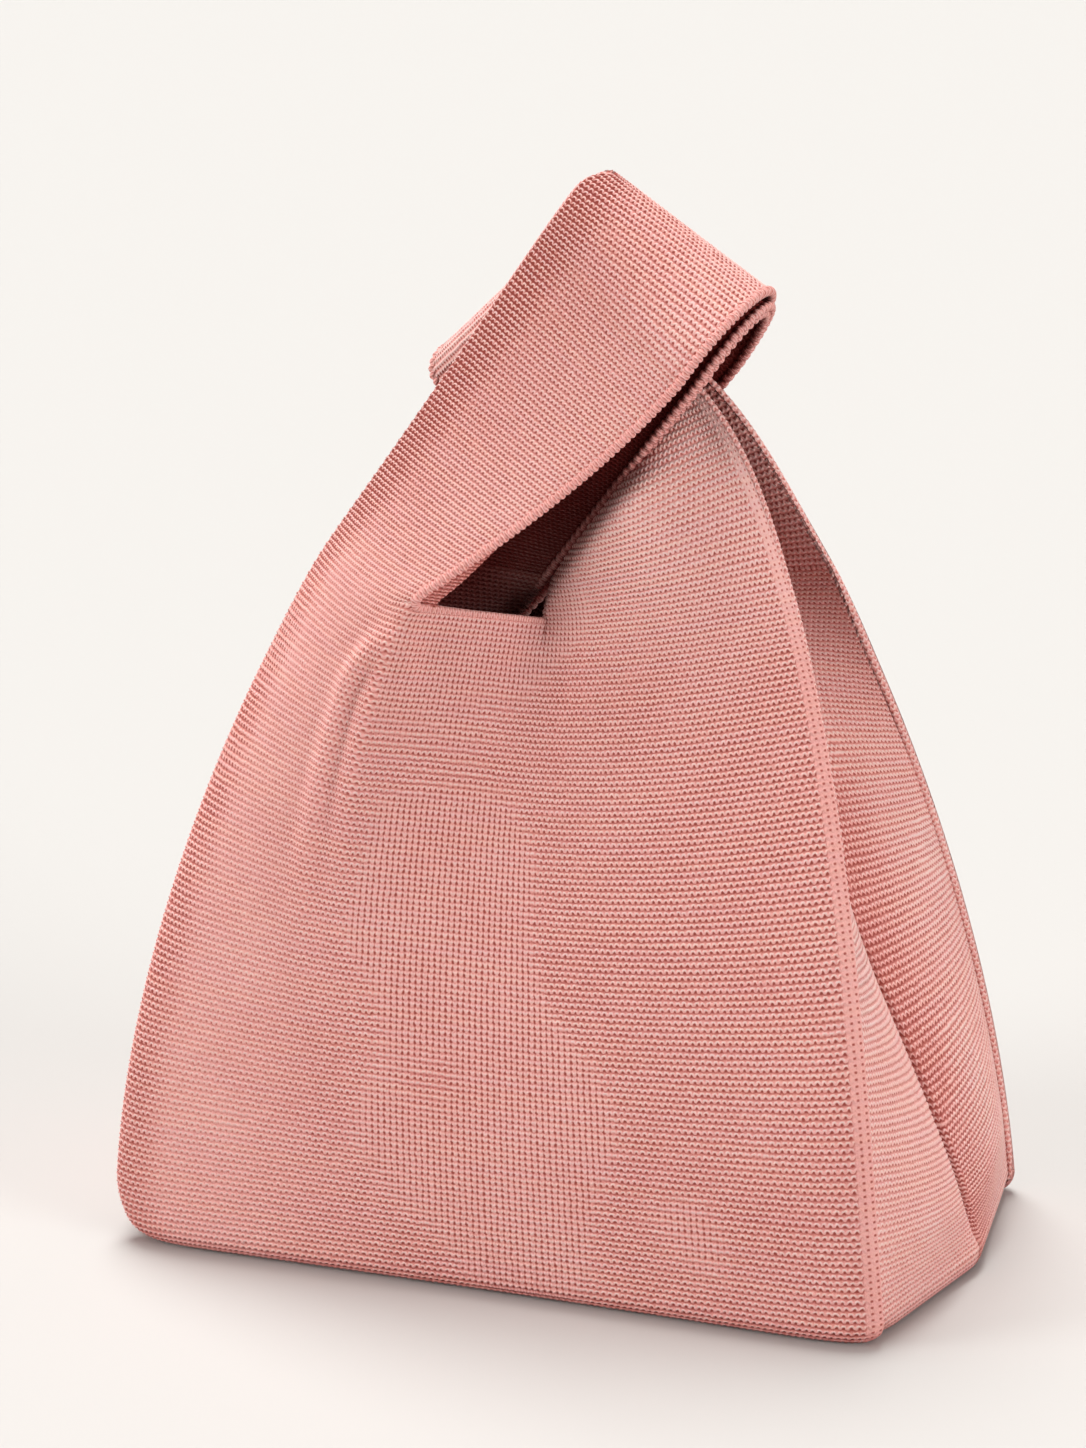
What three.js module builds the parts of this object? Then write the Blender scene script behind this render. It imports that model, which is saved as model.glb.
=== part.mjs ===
// Knitted handbag: two panels, two folded gussets and a base.
// The panels and gussets run up into two double-layer handle loops, one threaded through the other.
// Millimetres, +Z up, front at -Y, origin on the floor under the middle of the base.
import * as THREE from "three";

// Body sizes
const BASE_WIDTH = 300;
const BASE_DEPTH = 172;
const BASE_CORNER = 10;
const GUSSET_BULGE = 10;
const KNIT = 3;
const SEAT_GAP = 0.3;
const SEAM_RADIUS = 2;
const VALLEY_SEAM_RADIUS = 1.4;

// Left loop: crest of its fold, lean of its straps from the floor, widths and bend zone
const LOOP_CREST_X = 12;
const LOOP_CREST_HEIGHT = 404;
const LOOP_LEAN = 55.3;
const LOOP_WIDTH = 77;
const LINING_WIDTH = 79;
const LOOP_LENGTH = 177;
const BEND_START = 24;
const BEND_END = 36;
const LAYER_GAP = 0.6;

// Neckline: the left corner stands forward, the notch at the right handle lies further back
const NECK_CORNER_DEPTH = 58;
const NOTCH_X = 0;
const NOTCH_DEPTH = 24;
const NOTCH_HEIGHT = 238;

// Right handle: lower end of its tip fold, pull direction from the floor, width and sliding length
const TIP_X = -56;
const TIP_DROP = 76;
const TIP_LEAN = 133.8;
const TIP_WIDTH = 65;
const TIP_LENGTH = 40;

const HALF_WIDTH = BASE_WIDTH / 2;
const HALF_DEPTH = BASE_DEPTH / 2;
const LAYER = KNIT + LAYER_GAP;
const TIP_LINING_Y = LAYER;
const TIP_Y = 2 * LAYER;
const LINING_Y = 3 * LAYER;
const LOOP_Y = 4 * LAYER;
const WALL_FOOT = KNIT + SEAT_GAP;
const TIP_HEIGHT = LOOP_CREST_HEIGHT - TIP_DROP;

const point = (x, y, z) => new THREE.Vector3(x, y, z);
const curve = (a, b, c, d) => new THREE.CubicBezierCurve3(a, b, c, d);
const mix = (a, b, t) => a + (b - a) * t;
const bow = (t) => 4 * t * (1 - t);

// Direction a surface faces at one place
function facing(surface, u, v) {
  const step = 1e-4;
  const clamp = (t) => Math.min(1, Math.max(0, t));
  const sideways = surface(clamp(u + step), v).sub(surface(clamp(u - step), v));
  const lengthways = surface(u, clamp(v + step)).sub(surface(u, clamp(v - step)));
  return sideways.cross(lengthways).normalize();
}

// Closed sheet of one knit layer on a middle surface
function sheet(surface, across, along) {
  const outer = [];
  const inner = [];
  for (const v of along) {
    for (const u of across) {
      const normal = facing(surface, u, v);
      const middle = surface(u, v);
      outer.push(middle.clone().addScaledVector(normal, KNIT / 2));
      inner.push(middle.clone().addScaledVector(normal, -KNIT / 2));
    }
  }
  const columns = across.length;
  const rows = along.length;
  const count = columns * rows;
  const index = [];
  const quad = (a, b, c, d) => index.push(a, b, c, a, c, d);
  for (let j = 0; j + 1 < rows; j++) {
    for (let i = 0; i + 1 < columns; i++) {
      const a = j * columns + i;
      const d = a + columns;
      quad(a, a + 1, d + 1, d);
      quad(count + a, count + d, count + d + 1, count + a + 1);
    }
  }
  for (let i = 0; i + 1 < columns; i++) {
    const top = (rows - 1) * columns + i;
    quad(i, count + i, count + i + 1, i + 1);
    quad(top, top + 1, count + top + 1, count + top);
  }
  for (let j = 0; j + 1 < rows; j++) {
    const left = j * columns;
    const right = left + columns - 1;
    quad(left, left + columns, count + left + columns, count + left);
    quad(right, count + right, count + right + columns, right + columns);
  }
  const geometry = new THREE.BufferGeometry().setFromPoints([...outer, ...inner]);
  geometry.setIndex(index);
  geometry.computeVertexNormals();
  return geometry;
}

// Even steps from one value to another
function steps(from, to, count) {
  return Array.from({ length: count + 1 }, (_, i) => mix(from, to, i / count));
}

// Round yarn along a path
function yarn(path, radius, count) {
  const round = new THREE.Shape();
  round.absarc(0, 0, radius, 0, 2 * Math.PI);
  return new THREE.ExtrudeGeometry(round, { extrudePath: path, steps: count, curveSegments: 4 });
}

// A surface moved along its own normal
function shifted(surface, distance) {
  return (u, v) => surface(u, v).addScaledVector(facing(surface, u, v), distance);
}

// A surface of a given length with a gap left at its foot and its top
function trimmed(surface, length, foot, top) {
  return (u, v) => surface(u, mix(foot(u) / length, 1 - top(u) / length, v));
}

// Place on a strap: distance below the crest, distance across from the left edge, depth
function strapFrame(crestX, crestZ, lean) {
  const angle = THREE.MathUtils.degToRad(lean);
  const up = point(Math.cos(angle), 0, Math.sin(angle));
  const across = point(Math.sin(angle), 0, -Math.cos(angle));
  const place = (below, side, y) =>
    point(crestX, y, crestZ).addScaledVector(up, -below).addScaledVector(across, side);
  return { up, across, place };
}

// Strap end folded over its crest, as one U of a given depth each side
function foldedEnd(frame, width, depth, axisBelow, leg) {
  const straight = leg - axisBelow;
  const arc = Math.PI * depth;
  const total = 2 * straight + arc;
  const surface = (u, v) => {
    const run = v * total;
    const side = u * width;
    if (run < straight) return frame.place(leg - run, side, -depth);
    if (run > straight + arc) return frame.place(axisBelow + run - straight - arc, side, depth);
    const turn = (run - straight) / depth;
    return frame.place(axisBelow - depth * Math.sin(turn), side, -depth * Math.cos(turn));
  };
  const bendAt = straight / total;
  const along = [0, ...steps(bendAt, 1 - bendAt, 14), 1];
  return { surface, along };
}

const loop = strapFrame(LOOP_CREST_X, LOOP_CREST_HEIGHT, LOOP_LEAN);
const loopAxis = KNIT / 2 + LOOP_Y;

// Left handle, outer layer: left edge and the neckline edge that hangs forward to the corner
const loopLeftEdge = curve(
  loop.place(BEND_END, 0, -LOOP_Y),
  loop.place(mix(BEND_END, LOOP_LENGTH, 0.35), 0, -LOOP_Y),
  loop.place(mix(BEND_END, LOOP_LENGTH, 0.7), 0, -LOOP_Y),
  loop.place(LOOP_LENGTH, 0, -LOOP_Y - 2.3 * KNIT),
);
const loopNeckEdge = curve(
  loop.place(BEND_END, LOOP_WIDTH, -LOOP_Y),
  loop.place(mix(BEND_END, LOOP_LENGTH, 0.34), 0.9 * LOOP_WIDTH, -LOOP_Y),
  loop.place(mix(BEND_END, LOOP_LENGTH, 0.64), 0.77 * LOOP_WIDTH, -0.72 * NECK_CORNER_DEPTH),
  loop.place(mix(BEND_END, LOOP_LENGTH, 0.89), 0.53 * LOOP_WIDTH, -NECK_CORNER_DEPTH),
);
const loopBow = 0.065 * LOOP_WIDTH;
const leftHandle = (u, v) => {
  const spot = loopLeftEdge.getPoint(1 - v).lerp(loopNeckEdge.getPoint(1 - v), u);
  spot.y -= loopBow * bow(u) * (1 - v) * (1 - v);
  return spot;
};

// Left handle, inner layer: a straight band that flares forward at its foot
const liningFlare = NOTCH_DEPTH - LINING_Y;
const liningFootLeft = LOOP_LENGTH - KNIT;
const liningFootRight = 0.75 * LOOP_LENGTH;
const leftLining = (u, v) => {
  const foot = 1 - v;
  const below = mix(BEND_END, mix(liningFootLeft, liningFootRight, u), foot);
  const rise = mix(1.6 * KNIT, liningFlare, u) * foot * foot;
  return loop.place(below, mix(0, LINING_WIDTH, u), -LINING_Y - rise);
};

// Right handle: outer layer from the root at the panel to the sliding tip
const tip = strapFrame(TIP_X, TIP_HEIGHT, TIP_LEAN);
const tipAxis = KNIT / 2 + TIP_Y;
const tipNeck = tip.place(TIP_LENGTH, 0, 0);
const tipOuter = tip.place(TIP_LENGTH, TIP_WIDTH, 0);
const rootOuter = point(0.635 * HALF_WIDTH, 0, 1.08 * NOTCH_HEIGHT);
const rightNeckEdge = curve(
  tipNeck,
  tipNeck.clone().addScaledVector(tip.up, -0.55 * TIP_LENGTH),
  point(NOTCH_X - 0.05 * TIP_LENGTH, 0, NOTCH_HEIGHT + 0.6 * TIP_LENGTH),
  point(NOTCH_X, 0, NOTCH_HEIGHT),
);
const rightOuterEdge = curve(
  tipOuter,
  point(tipOuter.x + 1.05 * TIP_LENGTH, 0, tipOuter.z - 0.325 * TIP_LENGTH),
  point(rootOuter.x - 0.425 * TIP_LENGTH, 0, rootOuter.z + 0.85 * TIP_LENGTH),
  rootOuter,
);
const rootBow = 0.17 * TIP_WIDTH;
const rightHandle = (u, v) => {
  const root = 1 - v;
  const spot = rightNeckEdge.getPoint(root).lerp(rightOuterEdge.getPoint(root), u);
  const rootDepth = mix(NOTCH_DEPTH, 0.8 * NOTCH_DEPTH, u) + rootBow * bow(u);
  spot.y = -mix(TIP_Y, rootDepth, Math.pow(root, 3.5));
  return spot;
};
const rightLining = shifted((u, v) => rightHandle(mix(0.05, 0.98, u), v), -LAYER);

// Front panel: four rows from the floor to the shoulders and neckline, blended as cubic curves
const CORNER_AT = 0.2;
const NOTCH_AT = 0.55;
const neckCorner = leftHandle(1, 0);
const notch = rightHandle(0, 0);
const topRow = (u) => {
  if (u <= CORNER_AT) return leftHandle(u / CORNER_AT, 0);
  if (u >= NOTCH_AT) return rightHandle((u - NOTCH_AT) / (1 - NOTCH_AT), 0);
  return neckCorner.clone().lerp(notch, (u - CORNER_AT) / (NOTCH_AT - CORNER_AT));
};
const footWidth = BASE_WIDTH - KNIT - 2 * SEAM_RADIUS;
const footRow = (u) => point((u - 0.5) * footWidth, KNIT / 2 - HALF_DEPTH, WALL_FOOT);
// How far the knit hangs out and down below the top row, as parts of the half width, half depth and height
const hangPart = (x, y, z) => point(x * HALF_WIDTH, y * HALF_DEPTH, z * NOTCH_HEIGHT);
const hang = new THREE.CatmullRomCurve3([
  hangPart(-0.22, -0.36, -0.285),
  hangPart(-0.165, -0.185, -0.31),
  hangPart(-0.06, -0.255, -0.3),
  hangPart(0.04, -0.385, -0.295),
  hangPart(0.135, -0.35, -0.295),
  hangPart(0.18, -0.37, -0.275),
]);
const panelBulge = (u) => HALF_DEPTH * (0.045 + 0.06 * bow(u));
const frontPanel = (u, v) => {
  const foot = footRow(u);
  const top = topRow(u);
  const low = foot.clone().add(point(0, -panelBulge(u), 0.34 * (top.z - foot.z)));
  const high = top.clone().add(hang.getPoint(u));
  return curve(foot, low, high, top).getPoint(v);
};

// Gusset half: from the side fold back to the valley and up to the foot of the handle lining
function gussetHalf(side, crown) {
  const edge = side < 0 ? 0 : 1;
  const sideFold = (v) => frontPanel(edge, v).add(point(0, LAYER, 0));
  const near = (0.75 * VALLEY_SEAM_RADIUS + KNIT) * -0.8;
  const freeEnd = side < 0 ? crown(1) : crown(0);
  const valley = new THREE.CatmullRomCurve3([
    point(side * (HALF_WIDTH + GUSSET_BULGE - KNIT), near, WALL_FOOT),
    point(side * 0.987 * HALF_WIDTH, near, 0.19 * NOTCH_HEIGHT),
    point(side * 0.82 * HALF_WIDTH, near, 0.433 * NOTCH_HEIGHT),
    point(side * 0.6 * HALF_WIDTH, near, 0.69 * NOTCH_HEIGHT),
    point(side * 0.28 * HALF_WIDTH, 1.3 * near, 0.91 * NOTCH_HEIGHT),
    freeEnd,
  ]);
  const cornerTop = side < 0 ? crown(0) : crown(1);
  const cornerMiss = cornerTop.clone().sub(sideFold(1));
  const half = (u, v) => {
    const start = sideFold(v).addScaledVector(cornerMiss, Math.pow(v, 4));
    const spot = start.lerp(valley.getPoint(v), u);
    const straight = cornerTop.clone().lerp(freeEnd, u);
    const crownSpot = crown(side < 0 ? u : 1 - u);
    spot.addScaledVector(crownSpot.sub(straight), Math.pow(v, 4));
    spot.x += side * 0.3 * GUSSET_BULGE * bow(u) * (1 - v);
    return spot;
  };
  return { half, valley };
}
const leftGusset = gussetHalf(-1, (u) => leftLining(u, 0));
const rightGusset = gussetHalf(1, (u) => rightLining(u, 0));

const knitLook = new THREE.MeshStandardMaterial({ color: 0xcd8780, roughness: 0.95, metalness: 0 });
const bag = new THREE.Group();
const backHalf = new THREE.Group();
backHalf.scale.y = -1;
bag.add(backHalf);

function add(name, geometry, parent = bag) {
  const mesh = new THREE.Mesh(geometry, knitLook);
  mesh.name = name;
  parent.add(mesh);
}

// The same piece at the front and, mirrored, at the back
function addPair(frontName, backName, geometry) {
  add(frontName, geometry);
  add(backName, geometry, backHalf);
}

// Gaps where a strap meets the sheet below it: wider where the two lean apart
const seat = () => SEAT_GAP;
const cornerSeat = (u) => SEAT_GAP + 0.4 * KNIT * u;
const leaningSeat = (u) => SEAT_GAP + 0.75 * KNIT * (1 - u * u);
const STRAP_LENGTH = LOOP_LENGTH - BEND_END;
const ROOT_LENGTH = rightNeckEdge.getLength();
const PANEL_LENGTH = NOTCH_HEIGHT;
const panelColumns = [
  ...steps(0, CORNER_AT, 5),
  ...steps(CORNER_AT, NOTCH_AT, 7).slice(1),
  ...steps(NOTCH_AT, 1, 9).slice(1),
];
const panelRows = steps(0, 1, 15);
const strapColumns = steps(0, 1, 8);
const strapRows = steps(0, 1, 10);
const flip = (surface) => (u, v) => surface(1 - u, v);
const none = () => 0;

function addLayer(name, surface, length, foot, top, columns, rows) {
  const geometry = sheet(trimmed(surface, length, foot, top), columns, rows);
  addPair(name + "_front", name + "_back", geometry);
}
addPair(
  "front_panel",
  "back_panel",
  sheet(trimmed(frontPanel, PANEL_LENGTH, none, seat), panelColumns, panelRows),
);
addLayer("left_gusset", flip(leftGusset.half), PANEL_LENGTH, none, seat, strapColumns, panelRows);
addLayer("right_gusset", rightGusset.half, PANEL_LENGTH, none, seat, strapColumns, panelRows);
addLayer("left_handle", leftHandle, STRAP_LENGTH, cornerSeat, seat, strapColumns, strapRows);
addLayer("left_lining", leftLining, STRAP_LENGTH, cornerSeat, seat, strapColumns, strapRows);
addLayer("right_handle", rightHandle, ROOT_LENGTH, seat, seat, strapColumns, strapRows);
addLayer("right_lining", rightLining, ROOT_LENGTH, leaningSeat, seat, strapColumns, strapRows);

// Short lengths of strap that bend when the loop end swings
const bendLength = BEND_END - BEND_START - SEAT_GAP;
for (const [layer, width, depth] of [
  ["left_handle", LOOP_WIDTH, LOOP_Y],
  ["left_lining", LINING_WIDTH, LINING_Y],
]) {
  const bend = (u, v) => loop.place(BEND_END - v * bendLength, u * width, -depth);
  addPair(layer + "_bend_front", layer + "_bend_back", sheet(bend, [0, 0.5, 1], [0, 1]));
  const end = foldedEnd(loop, width, depth, loopAxis, BEND_START);
  add(layer + "_top", sheet(end.surface, [0, 0.25, 0.5, 0.75, 1], end.along));
}

for (const [name, inset, depth] of [
  ["right_handle_tip", 0, TIP_Y],
  ["right_lining_tip", 0.05 * TIP_WIDTH, TIP_LINING_Y],
]) {
  const frame = strapFrame(TIP_X, TIP_HEIGHT, TIP_LEAN);
  const end = foldedEnd(frame, TIP_WIDTH - inset, depth, tipAxis, TIP_LENGTH);
  add(name, sheet(end.surface, [0, 0.25, 0.5, 0.75, 1], end.along));
}

// Rolled columns of linked stitches at the four upright edges, and the two valley seams
class SideEdge extends THREE.Curve {
  constructor(edge) {
    super();
    this.edge = edge;
  }
  getPoint(t) {
    const out = this.edge === 0 ? -1 : 1;
    return frontPanel(this.edge, mix(0.004, 0.985, t)).add(point(out * 1.2 * SEAM_RADIUS, LAYER / 3, 0));
  }
}
addPair("front_left_seam", "back_left_seam", yarn(new SideEdge(0), SEAM_RADIUS, 26));
addPair("front_right_seam", "back_right_seam", yarn(new SideEdge(1), SEAM_RADIUS, 26));

class ValleySeam extends THREE.Curve {
  constructor(valley) {
    super();
    this.valley = valley;
  }
  getPoint(t) {
    const spot = this.valley.getPoint(mix(0.012, 0.8, t));
    spot.y = 0;
    return spot;
  }
}
add("left_gusset_seam", yarn(new ValleySeam(leftGusset.valley), VALLEY_SEAM_RADIUS, 20));
add("right_gusset_seam", yarn(new ValleySeam(rightGusset.valley), VALLEY_SEAM_RADIUS, 20));

// Base: flat underneath, its short sides bowed out to the gussets
const outline = new THREE.Shape();
const sideX = HALF_WIDTH;
const endY = HALF_DEPTH;
outline.moveTo(-sideX + BASE_CORNER, -endY);
outline.lineTo(sideX - BASE_CORNER, -endY);
outline.quadraticCurveTo(sideX, -endY, sideX + 0.25 * GUSSET_BULGE, -endY + BASE_CORNER);
outline.quadraticCurveTo(sideX + 1.75 * GUSSET_BULGE, 0, sideX + 0.25 * GUSSET_BULGE, endY - BASE_CORNER);
outline.quadraticCurveTo(sideX, endY, sideX - BASE_CORNER, endY);
outline.lineTo(-sideX + BASE_CORNER, endY);
outline.quadraticCurveTo(-sideX, endY, -sideX - 0.25 * GUSSET_BULGE, endY - BASE_CORNER);
outline.quadraticCurveTo(-sideX - 1.75 * GUSSET_BULGE, 0, -sideX - 0.25 * GUSSET_BULGE, -endY + BASE_CORNER);
outline.quadraticCurveTo(-sideX, -endY, -sideX + BASE_CORNER, -endY);
add("base_panel", new THREE.ExtrudeGeometry(outline, { depth: KNIT, bevelEnabled: false, curveSegments: 10 }));

export default bag;
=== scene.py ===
import bpy
import numpy as np
from mathutils import Matrix, Vector


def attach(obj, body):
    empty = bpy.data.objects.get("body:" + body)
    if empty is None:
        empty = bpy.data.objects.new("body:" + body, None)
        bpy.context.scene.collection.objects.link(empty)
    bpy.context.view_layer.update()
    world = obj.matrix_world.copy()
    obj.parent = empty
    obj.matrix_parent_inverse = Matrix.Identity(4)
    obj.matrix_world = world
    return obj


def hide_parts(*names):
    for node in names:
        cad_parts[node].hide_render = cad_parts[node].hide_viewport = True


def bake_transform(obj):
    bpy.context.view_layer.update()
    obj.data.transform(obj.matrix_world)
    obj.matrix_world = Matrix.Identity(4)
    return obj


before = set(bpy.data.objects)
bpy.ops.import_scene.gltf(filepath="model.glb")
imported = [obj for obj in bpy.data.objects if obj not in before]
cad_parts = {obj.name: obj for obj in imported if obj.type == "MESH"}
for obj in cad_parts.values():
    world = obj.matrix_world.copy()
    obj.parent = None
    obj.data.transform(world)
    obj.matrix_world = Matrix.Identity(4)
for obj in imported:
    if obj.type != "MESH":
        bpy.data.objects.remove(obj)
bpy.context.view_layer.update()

# Camera: a long lens about 1.8 m away, in front of the bag, a little to its right and above it.
# Its lens and place were fitted to the corners of the base in the photo.
camera_lens = bpy.data.cameras.new("camera")
camera_lens.lens = 120.4
camera = bpy.data.objects.new("camera", camera_lens)
camera.matrix_world = Matrix(
    (
        (0.9331, -0.0898, 0.3481, 0.6176),
        (0.3595, 0.2332, -0.9035, -1.6314),
        (0.0, 0.9682, 0.2499, 0.6438),
        (0, 0, 0, 1),
    )
)
bpy.context.scene.collection.objects.link(camera)
bpy.context.scene.camera = camera

# Light: a warm white room, brighter overhead, with one broad lamp above and a soft low lamp on each side.
# Behind the floor the camera sees a plain backdrop instead of the room.
sky_colour = (1.0, 0.92, 0.895, 1)
sky_at_horizon, sky_gain_overhead = 0.17, 0.3
backdrop_colour = (0.922, 0.888, 0.847, 1)
lamp_colour, lamp_softness = (1.0, 0.985, 0.965), 0.55
lamps = (
    ("top_lamp", 2.85, (-0.2, 0.27, 0.94)),
    ("left_lamp", 2.55, (-0.8, -0.58, 0.16)),
    ("right_lamp", 2.4, (0.93, -0.33, 0.15)),
)


class Wiring:
    """The nodes of one material or world, with short words to make and link them."""

    def __init__(self, tree):
        self.tree = tree
        self.link = tree.links.new

    def node(self, kind, **settings):
        made = self.tree.nodes.new(kind)
        for key, value in settings.items():
            setattr(made, key, value)
        return made

    def maths(self, operation, *values, **settings):
        made = self.node("ShaderNodeMath", operation=operation, **settings)
        for socket, value in zip(made.inputs, values):
            if isinstance(value, (int, float)):
                socket.default_value = value
            else:
                self.link(value, socket)
        return made.outputs[0]

    def looked_at(self):
        ray = self.node("ShaderNodeLightPath")
        total = ray.outputs["Is Camera Ray"]
        for kind in ("Is Glossy Ray", "Is Transmission Ray"):
            total = self.maths("ADD", total, ray.outputs[kind], use_clamp=True)
        return total


bpy.context.scene.view_settings.view_transform = "Standard"
room = bpy.data.worlds.new("room")
room.use_nodes = True
sky = Wiring(room.node_tree)
sky_light = room.node_tree.nodes["Background"]
upward = sky.node("ShaderNodeSeparateXYZ")
sky.link(sky.node("ShaderNodeTexCoord").outputs["Generated"], upward.inputs[0])
raised = sky.maths("MAXIMUM", upward.outputs["Z"], 0)
overhead = sky.maths("MULTIPLY", raised, raised)
sky.link(sky.maths("MULTIPLY_ADD", overhead, sky_gain_overhead, sky_at_horizon), sky_light.inputs["Strength"])
sky_light.inputs["Color"].default_value = sky_colour
backdrop = sky.node("ShaderNodeBackground")
backdrop.inputs["Color"].default_value = backdrop_colour
room_seen = sky.node("ShaderNodeMixShader")
sky.link(sky.looked_at(), room_seen.inputs[0])
sky.link(sky_light.outputs[0], room_seen.inputs[1])
sky.link(backdrop.outputs[0], room_seen.inputs[2])
sky.link(room_seen.outputs[0], room.node_tree.nodes["World Output"].inputs["Surface"])
bpy.context.scene.world = room
for name, energy, comes_from in lamps:
    lamp_data = bpy.data.lights.new(name, "SUN")
    lamp_data.energy = energy
    lamp_data.angle = lamp_softness
    lamp_data.color = lamp_colour
    lamp = bpy.data.objects.new(name, lamp_data)
    lamp.rotation_euler = Vector(comes_from).to_track_quat("Z", "Y").to_euler()
    bpy.context.scene.collection.objects.link(lamp)

# Floor: one warm white sheet of paper that runs out of the picture on every side.
# Its colour is darker for the light that it throws back on the bag than for the camera.
floor_reach, floor_z = 60, -0.0003
paper_colour_for_light, paper_colour_seen = (0.3, 0.295, 0.29, 1), (0.65, 0.647, 0.632, 1)
floor_mesh = bpy.data.meshes.new("floor")
floor_plan = ((-1, -1), (1, -1), (1, 1), (-1, 1))
floor_corners = [(floor_reach * x, floor_reach * y, floor_z) for x, y in floor_plan]
floor_mesh.from_pydata(floor_corners, [], [(0, 1, 2, 3)])
floor = bpy.data.objects.new("floor", floor_mesh)
paper = bpy.data.materials.new("paper")
paper.use_nodes = True
paper_shader = paper.node_tree.nodes["Principled BSDF"]
paper_shader.inputs["Roughness"].default_value = 0.9
paper_shader.inputs["Specular IOR Level"].default_value = 0.1
paper_wiring = Wiring(paper.node_tree)
paper_colour = paper_wiring.node("ShaderNodeMix", data_type="RGBA")
paper_colour.inputs["A"].default_value = paper_colour_for_light
paper_colour.inputs["B"].default_value = paper_colour_seen
paper_wiring.link(paper_wiring.looked_at(), paper_colour.inputs["Factor"])
paper_wiring.link(paper_colour.outputs["Result"], paper_shader.inputs["Base Color"])
floor_mesh.materials.append(paper)
bpy.context.scene.collection.objects.link(floor)

# Panels and outer handles: front and back are one heavy pink knit each, 124 stitches wide at the base.
# 39 stitches run up into the left handle and 53 into the right one, and the rest end at the neckline.
# The foot rolls under to the base. Places are in millimetres here, and the meshes are made in metres.
wales, panel_rows, roll_rows = 124, 117, 5
corner_wale, notch_wale = 39, 71
steps_per_wale, steps_per_row = 2, 4
half_thickness, relief_height, layer = 1.1, 0.36, 3.6
loop_crest = np.array([12.0, 0, 404])
loop_angle, loop_length, loop_width, bend_end = 55.3, 177, 75, 36
outer_fold_depth, neck_fold_depth = 13.5, 33
tip_crest = np.array([-56.0, 0, 328])
tip_angle, tip_length, tip_width, tip_axis = 133.8, 40, 65, 8.7
notch_root = np.array([0, 0, 238])
right_root = np.array([93.0, 0, 257])
left_leg_rows, left_fold_rows = 66, 21
right_leg_rows, right_fold_rows = 46, 20


def mix(a, b, t):
    return a + (b - a) * t


def bow(t):
    return 4 * t * (1 - t)


def ease(low, high, x):
    t = np.clip((x - low) / (high - low), 0, 1)
    return t * t * (3 - 2 * t)


def curve(a, b, c, d, t):
    t = np.asarray(t)[..., None]
    return (1 - t) ** 3 * a + 3 * (1 - t) ** 2 * t * b + 3 * (1 - t) * t**2 * c + t**3 * d


def line_through(points, t):
    points = np.array(points, float)
    last = len(points) - 1
    run = np.clip(t, 0, 1) * last
    i = np.minimum(run.astype(int), last - 1)
    w = (run - i)[..., None]
    ends = np.vstack([2 * points[0] - points[1], points, 2 * points[-1] - points[-2]])
    a, b, c, d = ends[i], ends[i + 1], ends[i + 2], ends[i + 3]
    return b + 0.5 * w * (c - a + w * (2 * a - 5 * b + 4 * c - d + w * (3 * (b - c) + d - a)))


def smoothed(points, weights, axis=0):
    return np.apply_along_axis(np.convolve, axis, points, weights, "valid")


def facing(grid):
    normal = np.cross(np.gradient(grid, axis=1), np.gradient(grid, axis=0))
    return normal / np.linalg.norm(normal, axis=-1, keepdims=True)


def mirrored(grid):
    return grid * np.array([1, -1, 1])


def strap_axes(angle):
    up = np.array([np.cos(np.radians(angle)), 0, np.sin(np.radians(angle))])
    return up, np.array([up[2], 0, -up[0]])


loop_axes, tip_axes = strap_axes(loop_angle), strap_axes(tip_angle)


def on_strap(crest, axes, below, side, y):
    below, side, y = np.broadcast_arrays(below, side, y)
    spot = crest - below[..., None] * axes[0] + side[..., None] * axes[1]
    spot[..., 1] = y
    return spot


def on_loop(below, side, y):
    return on_strap(loop_crest, loop_axes, below, side, y)


def on_tip(below, side, y):
    return on_strap(tip_crest, tip_axes, below, side, y)


def left_handle(u, v):
    t = 1 - v
    outer_edge = curve(
        on_loop(bend_end, 0, -outer_fold_depth),
        on_loop(mix(bend_end, loop_length, 0.35), 0, -15.5),
        on_loop(mix(bend_end, loop_length, 0.7), 0, -17),
        on_loop(loop_length, 0, -21.3),
        t,
    )
    neck_edge = curve(
        on_loop(bend_end, loop_width, -neck_fold_depth),
        on_loop(77, 71.6, -40),
        on_loop(118, 59.3, -50),
        on_loop(159.1, 44, -60),
        t,
    )
    spot = mix(outer_edge, neck_edge, u[..., None])
    fullness = 5
    spot[..., 1] -= fullness * bow(u) * t * t
    return spot


def right_handle(u, v):
    t = 1 - v
    neck_end, outer_end = on_tip(tip_length, 0, 0), on_tip(tip_length, tip_width, 0)
    neck_drop, neck_rise = 22 * tip_axes[0], np.array([-2, 0, 24])
    neck_edge = curve(neck_end, neck_end - neck_drop, notch_root + neck_rise, notch_root, t)
    outer_bulge, outer_rise = np.array([42, 0, -13]), np.array([-16, 0, 34])
    outer_edge = curve(outer_end, outer_end + outer_bulge, right_root + outer_rise, right_root, t)
    spot = mix(neck_edge, outer_edge, u[..., None])
    turns_under = 0.87 - 0.57 * u**0.6
    forward = mix(ease(-0.13, 0.13, t - turns_under), t**2.3, ease(0.5, 0.95, u))
    root_depth, fullness = mix(24, 24.5, u), 11
    spot[..., 1] = -mix(2 * layer, root_depth + fullness * bow(u), forward)
    return spot


def arch(leg, top, depth):
    turn = np.linspace(0, np.pi / 2, 120)
    return leg - (leg - top) * np.sin(turn), depth * np.cos(turn)


def flat_fold(leg, axis, depth):
    turn = np.linspace(0, np.pi / 2, 60)
    below = np.r_[np.linspace(leg, axis, 60), axis - depth * np.sin(turn)]
    return below, np.r_[np.full(60, depth), depth * np.cos(turn)]


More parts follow.
